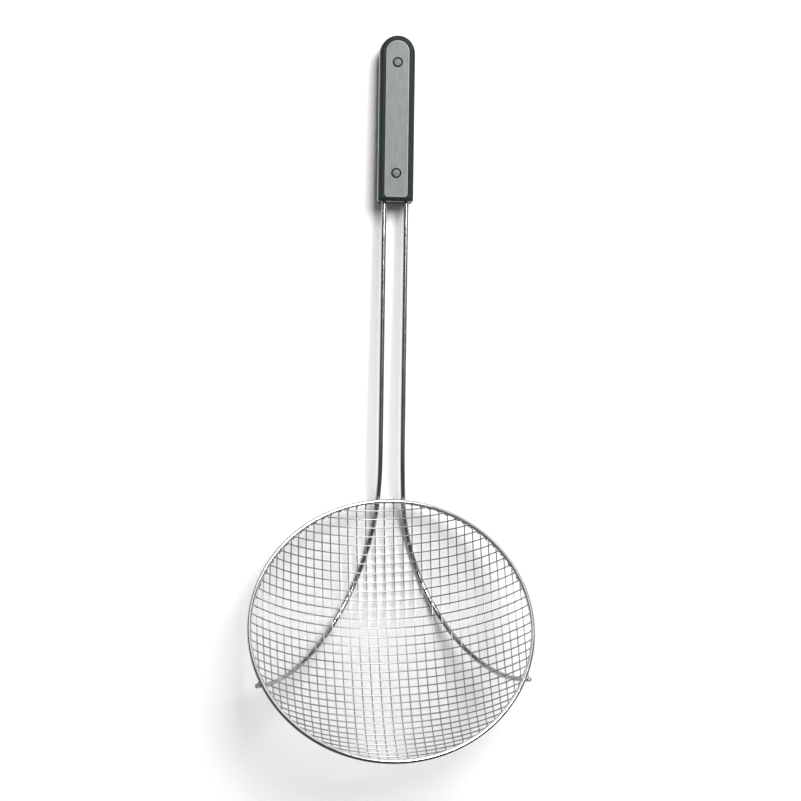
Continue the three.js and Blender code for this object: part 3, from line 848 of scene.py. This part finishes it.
def hammered_steel():
    """Rivet heads closed by a hammer: shallow dents, a dulled skin and painted shade round the head."""
    material, tree, shader = new_material("hammered_steel")
    shader.inputs["Metallic"].default_value = 0.6
    base = shader.inputs["Base Color"]
    dents = noise(tree, "Object", EVEN, scale=900.0, detail=2.0)
    skin = noise(tree, "Object", EVEN, scale=4200.0, detail=2.0)
    colours(tree, dents, (0.06, 0.066, 0.062), (0.17, 0.18, 0.173), base)
    # Painted shade on the head's side, down in its recess.
    aged(tree, base, "painted_shade", RECESS_SHADE_COLOUR, strength=0.95)
    span(tree, dents, 0.5, 0.62, shader.inputs["Roughness"])
    bump(tree, shader, dents, strength=0.6, depth=0.15 * MM)
    bump(tree, shader, skin, strength=0.2, depth=0.03 * MM)
    return material


def weld_steel(name, dull, bright):
    """Melted and cooled steel: lumpy, with grey patches of scale."""
    material, tree, shader = new_material(name)
    shader.inputs["Metallic"].default_value = 1.0
    lumps = noise(tree, "Object", EVEN, scale=700.0)
    colours(tree, lumps, dull, bright, shader.inputs["Base Color"])
    span(tree, lumps, 0.35, 0.5, shader.inputs["Roughness"])
    bump(tree, shader, lumps, strength=0.4, depth=0.15 * MM)
    return material


rod_steel = drawn_steel("rod_steel", (0.36, 0.38, 0.37), (0.44, 0.45, 0.44), smooth=0.14, rough=0.17)
mesh_steel = drawn_steel("mesh_steel", (0.36, 0.38, 0.37), (0.47, 0.48, 0.47), smooth=0.34, rough=0.44)
rim_steel = drawn_steel("rim_steel", (0.7, 0.72, 0.71), (0.8, 0.81, 0.8), smooth=0.14, rough=0.2)
plate_steel = satin_steel()
grip_plastic = moulded_plastic()
rivet_steel = hammered_steel()
bead_steel = weld_steel("bead_steel", (0.2, 0.206, 0.2), (0.4, 0.41, 0.4))
# The nuggets' near-black colour is partly burnt weld scale and partly a painted shade, for the dark
# along the rim's inner edge.
nugget_scale_and_shade_steel = weld_steel("nugget_scale_and_shade_steel", (0.05, 0.052, 0.05), (0.14, 0.145, 0.14))


# The object

make_rim(rim_steel)
for rod_side, rod_node in ((-1, "left_rod"), (1, "right_rod")):
    make_rod(rod_side, rod_node, rod_steel)
make_rim_welds(bead_steel)

sheet = sheet_knots()
inner_layer = MESH_SINK - MESH_WIRE / 2
across_ends = make_wires("mesh_wires_across", np.swapaxes(sheet, 0, 1), inner_layer, mesh_steel)
along_ends = make_wires("mesh_wires_along", sheet, -inner_layer, mesh_steel)
make_wire_welds("mesh_welds_across", across_ends, ACROSS_NUGGET, nugget_scale_and_shade_steel)
make_wire_welds("mesh_welds_along", along_ends, ALONG_NUGGET, nugget_scale_and_shade_steel)

scale_shell(FRONT_SCALE_THICKNESS).piece(
    "front_scale_moulding", grip_plastic, "grip_plastic", ["front_scale"])
turned_over(scale_shell(BACK_SCALE_THICKNESS)).piece(
    "back_scale_moulding", grip_plastic, "grip_plastic", ["back_scale"])
tang_shell().piece("tang_sheet", rim_steel, "satin_steel", ["tang"])
plate_shell().piece("front_cover_plate", plate_steel, "satin_steel", ["front_plate"])
turned_over(plate_shell()).piece("back_cover_plate", plate_steel, "satin_steel", ["back_plate"])
for rivet_node, rivet_place in rivet_places.items():
    rivet_shell(rivet_place).piece(rivet_node + "_turned", rivet_steel, "rivet_steel", [rivet_node])


# Table, light and camera

TABLE_SIZE = 12.0
TABLE_GAP = 0.05 * MM
TABLE_COLOUR = (0.9, 0.9, 0.895, 1.0)
TABLE_ROUGHNESS = 0.7
KEY_DIRECTION = np.array([0.28, 0.475, 1.0])
KEY_HEIGHT = 2.5
KEY_SIZE = (1.2, 1.35)
KEY_POWER = 118.0
FILL_DIRECTION = np.array([0.0, 1.74, 1.0])
FILL_HEIGHT = 1.5
FILL_SIZE = (3.0, 1.2)
FILL_POWER = 11.0
ROOM_COLOUR = (0.12, 0.12, 0.12, 1.0)


def make_table():
    """A wide pale table top, just under the object."""
    half = TABLE_SIZE / 2
    mesh = bpy.data.meshes.new("table")
    corners = [(-half, -half), (half, -half), (half, half), (-half, half)]
    mesh.from_pydata([(x, y, -TABLE_GAP) for x, y in corners], [], [(0, 1, 2, 3)])
    material, _, shader = new_material("table_white")
    shader.inputs["Base Color"].default_value = TABLE_COLOUR
    shader.inputs["Roughness"].default_value = TABLE_ROUGHNESS
    mesh.materials.append(material)
    table = bpy.data.objects.new("table", mesh)
    bpy.context.scene.collection.objects.link(table)


def pose_matrix(right, up, back, place):
    """A turn and a place as a 4 by 4 matrix."""
    rows = np.eye(4)
    rows[:3, :3] = np.stack([right, up, back], axis=-1)
    rows[:3, 3] = place
    return Matrix(rows.tolist())


def make_soft_box(name, direction, height, size, power):
    """A wide soft box that faces the object."""
    light = bpy.data.lights.new(name, "AREA")
    light.shape = "RECTANGLE"
    light.size, light.size_y = size
    light.energy = power
    lamp = bpy.data.objects.new(name, light)
    back = unit(direction)
    right = unit(np.cross([0.0, 1.0, 0.0], back))
    lamp.matrix_world = pose_matrix(right, np.cross(back, right), back, direction * height)
    bpy.context.scene.collection.objects.link(lamp)


def make_surroundings():
    """An even, dim room."""
    world = bpy.data.worlds.new("room")
    world.use_nodes = True
    world.node_tree.nodes["Background"].inputs["Color"].default_value = ROOM_COLOUR
    bpy.context.scene.world = world


# The camera looks down from above the middle of the tool, with a slight roll about its long axis
CAMERA_DISTANCE = 1700.0
CAMERA_ROLL = math.radians(2.5)
CAMERA_TURN = math.radians(-0.888)
CAMERA_ASIDE = 6.53
CAMERA_ALONG = -8.02
PIXELS_PER_MM = 1.3885  # at the table
FRAME_PIXELS = 801


def make_camera():
    """The camera at the photograph's viewing angle."""
    level = np.array([math.cos(CAMERA_ROLL), 0.0, math.sin(CAMERA_ROLL)])
    back = np.array([-math.sin(CAMERA_ROLL), 0.0, math.cos(CAMERA_ROLL)])
    ahead = np.array([0.0, 1.0, 0.0])
    right = math.cos(CAMERA_TURN) * level - math.sin(CAMERA_TURN) * ahead
    up = math.sin(CAMERA_TURN) * level + math.cos(CAMERA_TURN) * ahead
    place = (CAMERA_ASIDE * right + CAMERA_ALONG * up + CAMERA_DISTANCE * back) * MM
    data = bpy.data.cameras.new("camera")
    data.lens = data.sensor_width * PIXELS_PER_MM * CAMERA_DISTANCE / FRAME_PIXELS
    camera = bpy.data.objects.new("camera", data)
    camera.matrix_world = pose_matrix(right, up, back, place)
    bpy.context.scene.collection.objects.link(camera)
    bpy.context.scene.camera = camera


make_table()
make_soft_box("key", KEY_DIRECTION, KEY_HEIGHT, KEY_SIZE, KEY_POWER)
make_soft_box("fill", FILL_DIRECTION, FILL_HEIGHT, FILL_SIZE, FILL_POWER)
make_surroundings()
make_camera()
bpy.context.scene.view_settings.view_transform = "Standard"
